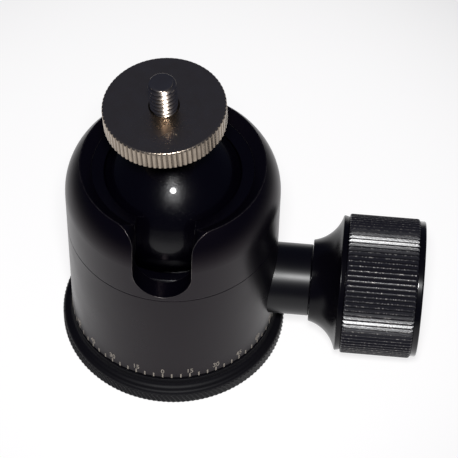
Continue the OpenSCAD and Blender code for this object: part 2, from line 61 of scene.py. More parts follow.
Corner = tuple[float, float, float]  # radius, height and fillet of a half section
Span = tuple[float, float]
Tree, Node, Socket = bpy.types.NodeTree, bpy.types.Node, bpy.types.NodeSocket
Mesh, Object, Material = bpy.types.Mesh, bpy.types.Object, bpy.types.Material

MATH = "ShaderNodeMath"  # adds, unless its operation says otherwise
VECTOR_MATH = "ShaderNodeVectorMath"
MAP_RANGE = "ShaderNodeMapRange"
NOISE = "ShaderNodeTexNoise"
MIX = "ShaderNodeMix"  # its colours are the inputs 6 and 7 and the output 2
COMBINE = "ShaderNodeCombineXYZ"
SEPARATE = "ShaderNodeSeparateXYZ"
ATTRIBUTE = "ShaderNodeAttribute"
COORDINATES = "ShaderNodeTexCoord"


# ---- places ----


@dataclass(frozen=True)
class Place:
    """Where a piece's own +Z axis stands in the shared frame."""

    origin: tuple[float, float, float] = (0.0, 0.0, 0.0)
    turns: tuple[tuple[str, float], ...] = ()  # axis and degrees of each turn

    def matrix(self) -> Matrix:
        """Turns the place to a matrix.

        Returns:
            The matrix, in metres.
        """
        out = Matrix.Translation(Vector(self.origin) * MM)
        for axis, degrees in self.turns:
            out = out @ Matrix.Rotation(math.radians(degrees), 4, axis)
        return out


UPRIGHT = Place()
SPINDLE = Place((0.0, 0.0, 17.7), (("Y", 90.0),))
PAN_LOCK = Place((0.0, 0.0, 10.2), (("X", -90.0),))
STEM = Place((0.0, 0.0, 46.3), (("Y", -3.0), ("X", 2.5)))


# ---- nodes, materials and objects ----


def plug(node: Node, inputs: dict | Sequence) -> None:
    """Fills a node's inputs.

    Args:
        node: The node.
        inputs: What goes in, by name or in order: a value, an output socket, or a
            node that stands for its first output.
    """
    for key, value in inputs.items() if isinstance(inputs, dict) else enumerate(inputs):
        if isinstance(value, Node):
            value = value.outputs[0]
        if isinstance(value, Socket):
            node.id_data.links.new(value, node.inputs[key])
        else:
            node.inputs[key].default_value = value


def add_node(tree: Tree, kind: str, inputs: dict | Sequence = (), **settings: Any) -> Node:
    """Adds one node with its settings and links.

    Args:
        tree: The tree that gets the node.
        kind: The node's type.
        inputs: What goes into its inputs, as plug takes it.
        **settings: The node's own properties.

    Returns:
        The new node.
    """
    node = tree.nodes.new(kind)
    for key, value in settings.items():
        setattr(node, key, value)
    plug(node, inputs)
    return node


def linear(colour: str) -> tuple[float, float, float, float]:
    """Turns an sRGB hex colour to linear light.

    Args:
        colour: The colour as "#rrggbb".

    Returns:
        Red, green, blue and an alpha of 1.
    """
    parts = [int(colour[i : i + 2], 16) / 255 for i in (1, 3, 5)]
    return (*(p / 12.92 if p <= 0.04045 else ((p + 0.055) / 1.055) ** 2.4 for p in parts), 1.0)


def per(size: float) -> float:
    """Returns the scale of a noise whose spots are a given size."""
    return 1 / (size * MM)


def new_material(name: str, values: dict[str, Any]) -> tuple[Material, Node]:
    """Makes a material with plain values.

    Args:
        name: The material's name.
        values: What is the same all over the surface, by the shader's own sockets.

    Returns:
        The material and its shader.
    """
    material = bpy.data.materials.new(name)
    material.use_nodes = True
    shader = material.node_tree.nodes["Principled BSDF"]
    plug(shader, values)
    return material, shader


def new_object(name: str, data: bpy.types.ID) -> Object:
    """Makes an object and links it to the scene.

    Args:
        name: The object's name.
        data: Its mesh, curve, lamp or camera.

    Returns:
        The object.
    """
    thing = bpy.data.objects.new(name, data)
    bpy.context.scene.collection.objects.link(thing)
    return thing


def made_plain(carrier: Object) -> Mesh:
    """Turns an object with its modifiers to a plain mesh, and removes the object.

    Args:
        carrier: The object.

    Returns:
        The mesh.
    """
    graph = bpy.context.evaluated_depsgraph_get()
    mesh = bpy.data.meshes.new_from_object(carrier.evaluated_get(graph))
    bpy.data.objects.remove(carrier)
    return mesh


# ---- finishes ----

NOISE_SPAN = (0.3, 0.7)  # most of a noise's values lie in it


@dataclass(frozen=True)
class Work:
    """A material in the making."""

    add: Callable[..., Node]  # add_node, bound to the material's tree
    shader: Node
    here: Socket  # the point on the surface, in the object's coordinates
    soft: dict[str, Node] = field(default_factory=dict)  # the softened edges' normal, if any


@dataclass(frozen=True)
class Finish:
    """What every finish has: a name, a colour, a gloss and a fine relief."""

    name: str
    colour: str
    roughness: float
    metallic: float = 0.0
    ior: float = 1.5
    edge: float = 0.0  # radius of the softened edges of a piece with sharp ones
    tint: str = "#ffffff"  # colour of what the surface mirrors
    coat: float = 0.0  # weight of a burnished film with a sharper gloss of its own
    coat_roughness: float = 0.07
    coat_ior: float = 1.28
    depth: float = 0.0  # height of the fine relief
    stray: Span = (0.0, 0.0)  # how far the roughness strays down and up
    bevel_samples: int = 6

    def surface(self, work: Work, relief: Node, gloss: Node | None = None, span: Span = NOISE_SPAN) -> None:
        """Gives the shader its fine relief and its uneven gloss.

        Args:
            work: The material in the making.
            relief: The pattern that stands proud.
            gloss: The pattern that the roughness follows, or None for an even gloss.
            span: The pattern's values between which the roughness changes.
        """
        height = {"Height": relief, "Distance": self.depth * MM, "Strength": 1.0, **work.soft}
        plug(work.shader, {"Normal": work.add("ShaderNodeBump", height)})
        if gloss:
            ends = (self.roughness + stray for stray in self.stray)
            plug(work.shader, {"Roughness": work.add(MAP_RANGE, (gloss, *span, *ends))})

    def detail(self, work: Work) -> None:
        """Adds what the surface shows up close.

        Args:
            work: The material in the making.
        """

    def build(self) -> Material:
        """Makes the material from the plain values and its detail.

        Returns:
            The finished material.
        """
        values = {
            "Base Color": linear(self.colour),
            "Roughness": self.roughness,
            "Metallic": self.metallic,
            "IOR": self.ior,
            "Specular Tint": linear(self.tint),
            "Coat Weight": self.coat,
            "Coat Roughness": self.coat_roughness,
            "Coat IOR": self.coat_ior,
        }
        material, shader = new_material(self.name, values)
        add = partial(add_node, material.node_tree)
        work = Work(add, shader, add(COORDINATES).outputs["Object"])
        if self.edge:
            radius = {"Radius": self.edge * MM}
            work.soft["Normal"] = add("ShaderNodeBevel", radius, samples=self.bevel_samples)
        self.detail(work)
        return material


@dataclass(frozen=True)
class BlastedAnodise(Finish):
    """Aluminium, bead-blasted and anodised black: a soft satin sheen with a fine grain."""

    grain: float = 0.22  # beads leave 0.1 mm dimples, drawn coarser so that they show
    cloud: float = 9.0  # size of the patches in which the sheen changes
    depth: float = 0.006
    stray: Span = (-0.03, 0.03)

    def detail(self, work: Work) -> None:
        """Adds the grain and a clouded sheen.

        Args:
            work: The material in the making.
        """
        grain = work.add(NOISE, {"Vector": work.here, "Scale": per(self.grain), "Detail": 2.0})
        cloud = work.add(NOISE, {"Vector": work.here, "Scale": per(self.cloud), "Detail": 3.0})
        self.surface(work, grain, cloud)


@dataclass(frozen=True)
class TurnedFinish(Finish):
    """What the turned finishes share: the rings that the tool leaves."""

    place: Place = UPRIGHT
    feed: float = 0.12  # the tool's feed a turn, drawn at the finest step that shows
    arc: float = 0.0  # how fast the rings change along their length, 0 for whole rings
    octaves: float = 1.0  # how rough the rings are among themselves
    depth: float = 0.0012
    stray: Span = (-0.02, 0.03)

    def rings(self, work: Work) -> tuple[Node, Node]:
        """Draws the rings round the piece's own axis.

        Args:
            work: The material in the making.

        Returns:
            The point as the piece's own frame has it, and the rings.
        """
        inverse = self.place.matrix().inverted()
        moves = {"Vector": work.here, "Location": inverse.to_translation(), "Rotation": inverse.to_euler()}
        own = work.add("ShaderNodeMapping", moves)
        x, y, z = work.add(SEPARATE, (own,)).outputs
        flat = work.add(COMBINE, (x, y))
        radius = work.add(VECTOR_MATH, (flat,), operation="LENGTH").outputs["Value"]
        along = work.add(MATH, (x, y))
        along = work.add(MATH, (along, self.arc), operation="MULTIPLY")
        ruled = work.add(COMBINE, (radius, along, z))
        rings = work.add(NOISE, {"Vector": ruled, "Scale": per(self.feed), "Detail": self.octaves})
        return own, rings


@dataclass(frozen=True)
class TurnedAnodise(TurnedFinish):
    """Aluminium, turned and anodised black: rings from the tool under a semi-gloss."""

    cloud: float = 12.0  # size of the patches in which the sheen changes
    rub: float = 0.0  # weight of the pale bare-metal lines on the sharp edges: painted highlights
    rub_bend: Span = (0.92, 0.8)  # cosines of the edge's bend where it starts and is whole
    rub_patch: float = 1.5  # size of the patches that break up the painted edge highlights
    rub_span: tuple[float, float, float] = (0.35, 0.6, 0.25)  # noise values, and the least strength of the painted edge highlights
    # colour of the painted edge highlights, drawn as bare metal
    bare: str = "#8f8b88"

    def detail(self, work: Work) -> None:
        """Adds the rings, a clouded sheen and painted highlights along the sharp edges, drawn as bare metal.

        Args:
            work: The material in the making.
        """
        own, rings = self.rings(work)
        cloud = work.add(NOISE, {"Vector": own, "Scale": per(self.cloud), "Detail": 3.0})
        self.surface(work, rings, cloud)
        if not self.rub:
            return
        # painted highlight: pale metal where the softened normal bends away from the flat one, along the
        # sharp edges
        flat = work.add("ShaderNodeNewGeometry").outputs["Normal"]
        bend = work.add(VECTOR_MATH, (flat, work.soft["Normal"]), operation="DOT_PRODUCT").outputs["Value"]
        edge_highlight_mask = work.add(MAP_RANGE, (bend, *self.rub_bend, 0.0, self.rub))
        patches = work.add(NOISE, {"Vector": own, "Scale": per(self.rub_patch), "Detail": 2.0})
        patches = work.add(MAP_RANGE, (patches, *self.rub_span))
        edge_highlight_mask = work.add(MATH, (edge_highlight_mask, patches), operation="MULTIPLY")
        colours = {0: edge_highlight_mask, 6: linear(self.colour), 7: linear(self.bare)}
        colour = work.add(MIX, colours, data_type="RGBA").outputs[2]
        plug(work.shader, {"Base Color": colour, "Metallic": edge_highlight_mask})


@dataclass(frozen=True)
class WornKnurl(Finish):
    """Anodised knurl whose ridges have rubbed through: bright broken glints on black."""

    bare: str = "#a9a5a0"
    wear: float = 0.55  # share of the ridges' length that is bare
    wear_reach: float = 0.24  # how far full wear lowers the next two values
    wear_span: Span = (0.62, 0.74)  # noise values where the wear starts and is whole
    patch: float = 0.45  # length of a bare patch along a ridge
    crest: float = 0.86  # how near to a ridge's tip the wear reaches, 1 at the tip
    grain: float = 0.3  # the rubbed metal's scratches, drawn coarser so that they show
    dull_span: Span = (0.25, 0.6)  # wear between which the sheen dulls
    depth: float = 0.02
    stray: Span = (0.0, 0.28)

    def detail(self, work: Work) -> None:
        """Adds bare patches on the ridges, and a duller sheen on them.

        Args:
            work: The material in the making.
        """
        crest = work.add(ATTRIBUTE, attribute_name="crest").outputs["Fac"]
        tip = work.add(MAP_RANGE, (crest, self.crest, 1.0))
        patches = work.add(NOISE, {"Vector": work.here, "Scale": per(self.patch), "Detail": 3.0})
        ends = (end - self.wear_reach * self.wear for end in self.wear_span)
        rubbed = work.add(MAP_RANGE, (patches, *ends))
        bare = work.add(MATH, (tip, rubbed), operation="MULTIPLY")
        colours = {0: bare, 6: linear(self.colour), 7: linear(self.bare)}
        colour = work.add(MIX, colours, data_type="RGBA").outputs[2]
        plug(work.shader, {"Base Color": colour, "Metallic": bare})
        dull = work.add(MATH, (tip, patches), operation="MULTIPLY")
        grain = work.add(NOISE, {"Vector": work.here, "Scale": per(self.grain), "Detail": 2.0})
        self.surface(work, grain, dull, self.dull_span)


@dataclass(frozen=True)
class TurnedPlate(TurnedFinish):
    """Turned steel under nickel plate: bright and warm, with the tool's fine rings."""

    place: Place = STEM
    feed: float = 0.1
    octaves: float = 2.0
    depth: float = 0.0016
    soil: str = "#6b6157"  # painted shade in the knurl's and thread's roots, and the colour of the film on the handled faces
    film: float = 0.3  # how much of that film the handled faces carry
    film_spot: float = 3.0  # size of its spots
    film_span: Span = (0.35, 0.7)

    def detail(self, work: Work) -> None:
        """Adds the rings, painted shade in the roots, the film on the faces, and a clouded sheen.

        Args:
            work: The material in the making.
        """
        own, rings = self.rings(work)
        cloud = work.add(NOISE, {"Vector": own, "Scale": per(self.film_spot), "Detail": 6.0})
        # painted shade: the roots darken the deeper they lie
        root = work.add(ATTRIBUTE, attribute_name="root").outputs["Fac"]
        film = work.add(MAP_RANGE, (cloud, *self.film_span, 0.0, self.film))
        colour = linear(self.colour)
        for share in (root, film):
            colours = {0: share, 6: colour, 7: linear(self.soil)}
            colour = work.add(MIX, colours, data_type="RGBA").outputs[2]
        plug(work.shader, {"Base Color": colour})
        self.surface(work, rings, cloud)


@dataclass(frozen=True)
class MachinedMetal(Finish):
    """Bare or blackened metal from the mill: fine scratches and an uneven gloss."""

    scratch: float = 0.3  # width of a scratch, drawn coarser so that it shows
    stretch: float = 0.12  # how fast the pattern changes along a scratch, 1 as across it
    depth: float = 0.002
    stray: Span = (-0.06, 0.08)

    def detail(self, work: Work) -> None:
        """Adds the scratches.

        Args:
            work: The material in the making.
        """
        drawn = work.add("ShaderNodeMapping", {"Vector": work.here, "Scale": (1.0, self.stretch, 1.0)})
        lines = work.add(NOISE, {"Vector": drawn, "Scale": per(self.scratch), "Detail": 3.0})
        self.surface(work, lines, lines)


@dataclass(frozen=True)
class CastPolymer(Finish):
    """Acetal, rubber or paint: an even colour with a faint mottle and a low sheen."""

    mottle: float = 1.5  # size of the mottle's spots
    shade: float = 0.9  # what is left of the colour on the mottle's dark side
    grain: float = 0.2  # the surface's fine grain, drawn coarser so that it shows
    depth: float = 0.003

    def detail(self, work: Work) -> None:
        """Adds the mottle and a fine grain.

        Args:
            work: The material in the making.
        """
        cloud = work.add(NOISE, {"Vector": work.here, "Scale": per(self.mottle), "Detail": 4.0})
        full = linear(self.colour)
        colours = {0: cloud, 6: full, 7: (*(part * self.shade for part in full[:3]), 1.0)}
        colour = work.add(MIX, colours, data_type="RGBA").outputs[2]
        plug(work.shader, {"Base Color": colour})
        grain = work.add(NOISE, {"Vector": work.here, "Scale": per(self.grain), "Detail": 1.0})
        self.surface(work, grain)


@cache
def dressed(finish: Finish) -> Material:
    """Returns the one material of a finish."""
    return finish.build()


DYE = "#ffe6f2"  # the black dye turns faintly purple where it mirrors white

# Anodised black soaks up nearly all light, and its dyed pores make the sheen weaker
# than that of plain oxide, so the anodised finishes have a low index: deep blacks.

# Bead-blasted: an even satin wall that spreads each highlight wide.
HOUSING_SATIN = BlastedAnodise("bead_blasted_black_anodise", "#06050a", 0.3, ior=1.27, edge=0.05, tint=DYE)
# Finely turned: a deeper dome, with thin pale metal lines along its edges: painted highlights.
HOUSING_GLOSS = TurnedAnodise(
    "turned_black_anodise", "#040309", 0.3, ior=1.275, edge=0.25, tint=DYE, rub=0.8
)
# Turned and softly broken at its edges: thin grey rings on near black.
COLLAR_BLACK = TurnedAnodise("turned_black_anodise_collar", "#030208", 0.26, ior=1.28, edge=0.3)
# Coarsely blasted: matt charcoal that hardly shines.
BASE_BLACK = BlastedAnodise("coarse_blasted_black_anodise", "#08070c", 0.5, ior=1.24, grain=0.3, depth=0.01)
# Turned without polish: one long soft highlight on the tube.
SLEEVE_BLACK = TurnedAnodise(
    "turned_black_anodise_sleeve", "#06050a", 0.33, ior=1.36, place=SPINDLE, edge=0.05
)
# Turned: soft highlights that follow the flare.
KNOB_BLACK = TurnedAnodise("turned_black_anodise_hub", "#06050a", 0.24, ior=1.25, place=SPINDLE)
# Turned and burnished: a sharper dark mirror over the soft sheen.
CAP_BLACK = TurnedAnodise("burnished_black_anodise", "#06050a", 0.24, ior=1.2, coat=0.8, place=SPINDLE)
# Knurled and hardly used: black teeth with a few grey glints.
PAN_KNOB_BLACK = WornKnurl("knurled_black_anodise", "#08070c", 0.28, ior=1.3, wear=0.1)
# Knurled and worn by hands: broken bright glints on charcoal ridges.
KNOB_WORN = WornKnurl("worn_knurled_anodise", "#18171d", 0.25, ior=1.45, bare="#9a9692", wear=0.35)
# Polished: a sharp highlight with fine sparkles round it, coarse enough to show.
BALL_BLACK = TurnedAnodise(
    "polished_black_anodise", "#020106", 0.25,
    ior=1.24, coat=0.65, place=STEM, feed=0.16, depth=0.045, arc=0.3,
)
# Polished and plain: a narrow bright line down the neck.
STEM_BLACK = TurnedAnodise("polished_black_anodise_stem", "#050409", 0.16, ior=1.35, place=STEM, edge=0.05)
# Nickel plate on turned steel: a warm grey mirror, blurred by rings and fingers, with painted shade in the
# knurl's roots.
NICKEL = TurnedPlate("nickel_plate_on_turned_steel", "#ada091", 0.27, metallic=1.0)
# Nickel plate on a rolled thread: bright crests over roots darkened by painted shade.
STUD_NICKEL = TurnedPlate("nickel_plate_on_rolled_thread", "#aca299", 0.24, metallic=1.0)
# Machined steel: cool grey with scratches that catch the light.
STEEL = MachinedMetal("machined_steel", "#a7a7a9", 0.32, metallic=1.0)
# Blackened steel: dark grey with a dull metal sheen.
BLACK_STEEL = MachinedMetal("blackened_steel", "#2b2b2d", 0.38, metallic=1.0)
# Machined brass: warm yellow with the same scratches.
BRASS = MachinedMetal("machined_brass", "#cdab62", 0.3, metallic=1.0)
# Machined acetal: waxy black with a low sheen.
BLACK_ACETAL = CastPolymer("machined_black_acetal", "#0c0b12", 0.4, ior=1.4)
# Moulded rubber: dull dark grey.
RUBBER = CastPolymer("moulded_nitrile_rubber", "#1a1a1a", 0.55)
# Printed paint, partly worn: pale and blotchy against the black.
MARK_PAINT = CastPolymer("printed_scale_paint", "#a39a8e", 0.6, mottle=0.4, shade=0.55)


# ---- Geometry Nodes ----


class TreeInput(Enum):
    """Kinds of named inputs of the trees."""

    SHAPE = "NodeSocketGeometry"
    COUNT = "NodeSocketInt"
    SIZE = "NodeSocketFloat"
    STUFF = "NodeSocketMaterial"


@dataclass(frozen=True)
class Knurl:
    """Teeth or a thread round a turned piece."""

    teeth: float
    depth: float
    crest: float  # radius of the tips
    low: float
    high: float
    land: float = 0.0  # share of the pitch that stays at full height
    root: float = 0.0  # share of the pitch at the bottom
    helix: float = 0.0  # teeth that pass a point for each millimetre of height
    follow: float = 1.0  # 1 lets the mesh's columns run along the teeth

    def inputs(self) -> dict[str, float]:
        """Returns the sizes as the tree's inputs, in metres."""
        scales = {"depth": MM, "crest": MM, "low": MM, "high": MM, "helix": 1 / MM}
        return {name.capitalize(): size * scales.get(name, 1.0) for name, size in asdict(self).items()}


PLAIN = Knurl(1.0, 0.0, 1000.0, 0.0, 0.0)


def new_tree(name: str, shape: str, count: str, sizes: Sequence[str]) -> tuple[Tree, dict[str, Any]]:
    """Makes a tree with named inputs and one shape output.

    Args:
        name: The tree's name.
        shape: The name of its input for a shape.
        count: The name of its input for a whole number.
        sizes: The names of its inputs for sizes, angles and shares.

    Returns:
        The tree, and its inputs by name.
    """
    tree = bpy.data.node_groups.new(name, "GeometryNodeTree")
    inputs = {shape: TreeInput.SHAPE, count: TreeInput.COUNT, **dict.fromkeys(sizes, TreeInput.SIZE)}
    inputs["Material"] = TreeInput.STUFF
    for label, kind in inputs.items():
        tree.interface.new_socket(label, in_out="INPUT", socket_type=kind.value)
    tree.interface.new_socket("Shape", in_out="OUTPUT", socket_type=TreeInput.SHAPE.value)
    return tree, {socket.name: socket for socket in add_node(tree, "NodeGroupInput").outputs}


def close_tree(tree: Tree, shape: Node, material: Socket) -> None:
    """Ends a tree in Realize Instances and Set Material.

    Args:
        tree: The tree.
        shape: The node that holds the shape.
        material: The tree's input for the material.
    """
    real = add_node(tree, "GeometryNodeRealizeInstances", (shape,))
    done = add_node(tree, "GeometryNodeSetMaterial", {"Geometry": real, "Material": material})
    add_node(tree, "NodeGroupOutput", (done,))


@cache
def turning_tree() -> Tree:
    """Makes the tree that turns a half section and cuts teeth or a thread in it.

    The section's points give the rows of a grid, and the grid's columns go round the
    axis. Within the band a row's radius is the smaller of the section's and that of
    the teeth. The attributes crest and root tell the finishes where they are.

    Returns:
        The tree.
    """
    sizes = ("Teeth", "Depth", "Crest", "Low", "High", "Land", "Root", "Helix", "Follow")
    tree, known = new_tree("turned_part", "Section", "Columns", sizes)
    add = partial(add_node, tree)
    count = add("GeometryNodeAttributeDomainSize", {"Geometry": known["Section"]})
    grid = add("GeometryNodeMeshGrid", (1.0, 1.0, add(MATH, (known["Columns"], 1.0)), count))
    spot = add("GeometryNodeInputPosition")
    x, y, _ = add(SEPARATE, (spot,)).outputs
    last = add(MATH, (count, 1.0), operation="SUBTRACT")
    row = add(MATH, (add(MATH, (y, 0.5)), last), operation="MULTIPLY")
    row = add(MATH, (row,), operation="ROUND")
    sample = add("GeometryNodeSampleIndex", data_type="FLOAT_VECTOR")
    plug(sample, {"Geometry": known["Section"], "Value": spot, "Index": row})
    known["radius"], _, known["height"] = add(SEPARATE, (sample,)).outputs
    known["across"] = add(MATH, (x, 0.5))
    for name, operation, *terms in (
        # a column's turn round the axis, and its place in a tooth's pitch
        ("rise", "MULTIPLY", "Helix", "height"),
        ("lean", "DIVIDE", "rise", "Teeth"),
        ("lean", "MULTIPLY", "lean", "Follow"),
        ("turn", "SUBTRACT", "across", "lean"),
        ("phase", "MULTIPLY_ADD", "turn", "Teeth", "rise"),
        ("phase", "FRACT", "phase"),
        # how far it is sunk: 0 on the land, 1 at the root, and 0 outside the band
        ("slant", "MULTIPLY_ADD", "phase", 2.0, -1.0),
        ("slant", "ABSOLUTE", "slant"),
        ("foot", "SUBTRACT", 1.0, "Root"),
        ("sunk", "", "slant", "Land", "foot"),
        ("over", "GREATER_THAN", "height", "Low"),
        ("under", "LESS_THAN", "height", "High"),
        ("band", "MULTIPLY", "over", "under"),
        ("sunk", "MULTIPLY", "sunk", "band"),
        ("drop", "MULTIPLY", "sunk", "Depth"),
        ("teeth", "SUBTRACT", "Crest", "drop"),
        ("cut", "MINIMUM", "radius", "teeth"),
        # the point
        ("angle", "MULTIPLY", "turn", math.tau),
        ("cosine", "COSINE", "angle"),
        ("sine", "SINE", "angle"),
        ("x", "MULTIPLY", "cut", "cosine"),
        ("y", "MULTIPLY", "cut", "sine"),
        # how near it is to a tip, and how deep in a root
        ("below", "SUBTRACT", "Crest", "cut"),
        ("below", "DIVIDE", "below", "Depth"),
        ("crest", "SUBTRACT", "band", "below"),
        ("bite", "SUBTRACT", "radius", "cut"),
        ("root", "DIVIDE", "bite", "Depth"),
    ):
        terms = [known.get(term, term) for term in terms]
        if operation:
            clamp = name in ("crest", "root")
            known[name] = add(MATH, terms, operation=operation, use_clamp=clamp)
        else:
            known[name] = add(MAP_RANGE, terms)
    shape = grid
    for label in ("crest", "root"):
        kept = {"Geometry": shape, "Name": label, "Value": known[label]}
        shape = add("GeometryNodeStoreNamedAttribute", kept, data_type="FLOAT", domain="POINT")
    point = add(COMBINE, (known["x"], known["y"], known["height"]))
    shape = add("GeometryNodeSetPosition", {"Geometry": shape, "Position": point})
    shape = add("GeometryNodeMergeByDistance", {"Geometry": shape, "Distance": WELD_M})
    close_tree(tree, shape, known["Material"])
    return tree


@cache
def tick_tree() -> Tree:
    """Makes the tree that sets a row of upright ticks round a cylinder.

    Returns:
        The tree.
    """
    sizes = ("First", "Step", "Radius", "Middle", "Tall", "Wide", "Thick")
    tree, known = new_tree("scale_ticks", "Around", "Ticks", sizes)
    add = partial(add_node, tree)
    number = add("GeometryNodeInputIndex")
    angle = add(MATH, (number, known["Step"], known["First"]), operation="MULTIPLY_ADD")
    waves = (add(MATH, (angle,), operation=wave) for wave in ("COSINE", "SINE"))
    flat = (add(MATH, (known["Radius"], wave), operation="MULTIPLY") for wave in waves)
    point = add(COMBINE, (*flat, known["Middle"]))
    row = add("GeometryNodeMeshLine", {"Count": known["Ticks"]})
    row = add("GeometryNodeSetPosition", {"Geometry": row, "Position": point})
    plate = add(COMBINE, (known["Thick"], known["Wide"], known["Tall"]))
    tick = add("GeometryNodeMeshCube", {"Size": plate})
    each = {"Points": row, "Instance": tick, "Rotation": add(COMBINE, {"Z": angle})}
    close_tree(tree, add("GeometryNodeInstanceOnPoints", each), known["Material"])
    return tree


def grown(name: str, seed: Mesh, tree: Tree, values: dict[str, Any]) -> Mesh:
    """Runs a tree on a mesh and keeps what it makes.

    Args:
        name: The new mesh's name.
        seed: The mesh that goes into the tree.
        tree: The tree.
        values: Its inputs by name.

    Returns:
        A plain mesh. The object and its modifier are gone.
    """
    carrier = new_object(name, seed)
    modifier = carrier.modifiers.new("shape", "NODES")
    modifier.node_group = tree
    for item in tree.interface.items_tree:
        if item.in_out == "INPUT" and item.name in values:
            modifier[item.identifier] = values[item.name]
    mesh = made_plain(carrier)
    mesh.name = name
    return mesh


# ---- turned pieces ----


def arc(centre: Span, radius: float, start: float, end: float, steps: int) -> list[Corner]:
    """Gives points on an arc of a half section.

    Args:
        centre: Radius and height of the arc's centre.
        radius: The arc's own radius.
        start: Its first angle in degrees, 0 outwards and 90 upwards.
        end: Its last angle.
        steps: The number of chords.

    Returns:
        The points as corners without a fillet.
    """
    angles = [math.radians(start + (end - start) * i / steps) for i in range(steps + 1)]
    return [(centre[0] + radius * math.cos(a), centre[1] + radius * math.sin(a), 0.0) for a in angles]


def rows(radius: float, low: float, high: float, steps: int) -> list[Corner]:
    """Gives evenly spaced points on a cylinder's wall.

    Args:
        radius: The cylinder's radius.
        low: The first point's height.
        high: The last point's height.
        steps: The number of spaces.

    Returns:
        The points as corners without a fillet.
    """
    return [(radius, low + (high - low) * i / steps, 0.0) for i in range(steps + 1)]


def rounded(corners: Sequence[Corner], closed: bool) -> list[Vector]:
    """Rounds the corners of a half section.

    Args:
        corners: Radius, height and fillet of each corner.
        closed: True where the section returns to its first corner.

    Returns:
        Points in order, with support rows beside the curves.
    """
    spots = [Vector((r, z)) for r, z, _ in corners]
    count, out = len(spots), []
    for i, (spot, (_, _, fillet)) in enumerate(zip(spots, corners)):
        before, after = spots[i - 1], spots[(i + 1) % count]
        if not fillet or (not closed and i in (0, count - 1)):
            out.append(spot)
            continue
        a, b = (before - spot).normalized(), (after - spot).normalized()
        half = a.angle(b) / 2
        reach = fillet / math.tan(half)
        centre = spot + (a + b).normalized() * (fillet / math.sin(half))
        first, last = spot + a * reach - centre, spot + b * reach - centre
        swing = first.angle_signed(last)
        steps = max(2, math.ceil(abs(math.degrees(swing)) / CHORD_DEG))
        out += [centre + Matrix.Rotation(-swing * k / steps, 2) @ first for k in range(steps + 1)]
    if closed:
        out.append(out[0])
    held = [out[0]]
    for near, far in zip(out, out[1:]):
        gap = (far - near).length
        if gap > 4 * SUPPORT:
            held += [near.lerp(far, SUPPORT / gap), far.lerp(near, SUPPORT / gap)]
        held.append(far)
    return held


def faced_outwards(mesh: Mesh) -> None:
    """Turns a closed mesh's faces over where its volume shows that they point inwards.

    Args:
        mesh: The mesh.
    """
    solid = bmesh.new()
    solid.from_mesh(mesh)
    if solid.calc_volume(signed=True) < 0:
        mesh.flip_normals()
    solid.free()


def as_piece(name: str, mesh: Mesh, body: str, nodes: Sequence[str] = ()) -> Object:
    """Puts a finished mesh in the scene.

    Args:
        name: The piece's name.
        mesh: Its mesh, in place.
        body: The body that it rides on.
        nodes: The CAD nodes that it stands for.

    Returns:
        The piece.
    """
    piece = new_object(name, mesh)
    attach(piece, body)
    if nodes:
        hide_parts(*nodes)
    LOG.info("%s rides on %s: %d faces", name, body, len(mesh.polygons))
    return piece


@dataclass(frozen=True)
class Turned:
    """A piece from the lathe."""

    name: str
    node: str
    body: str
    slot: str
    finish: Finish
    place: Place
    corners: tuple[Corner, ...]
    closed: bool = False  # a section that doesn't touch the axis closes on itself
    columns: int = 144
    knurl: Knurl = PLAIN

    def build(self) -> Object:
        """Turns the piece and sets it in its place.

        Returns:
            The piece.
        """
        section = bpy.data.meshes.new(self.name + "_section")
        points = rounded(self.corners, self.closed)
        section.from_pydata([(p.x * MM, 0.0, p.y * MM) for p in points], [], [])
        values = {"Columns": self.columns, "Material": dressed(self.finish), **self.knurl.inputs()}
        mesh = grown(self.name, section, turning_tree(), values)
        faced_outwards(mesh)
        mesh.shade_smooth()
        mesh.set_sharp_from_angle(angle=math.radians(SHARP_DEG))
        mesh.transform(self.place.matrix())
        return as_piece(self.name, mesh, self.body, (self.node,))


def dress(nodes: Sequence[str], finish: Finish) -> None:
    """Gives CAD nodes their finish in their own material slots.

    Args:
        nodes: The nodes' names.
        finish: The finish.
    """
    for name in nodes:
        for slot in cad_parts[name].material_slots:
            slot.material = dressed(finish)
        LOG.info("%s keeps its solid: %s", name, finish.name)


# ---- sub-assemblies ----


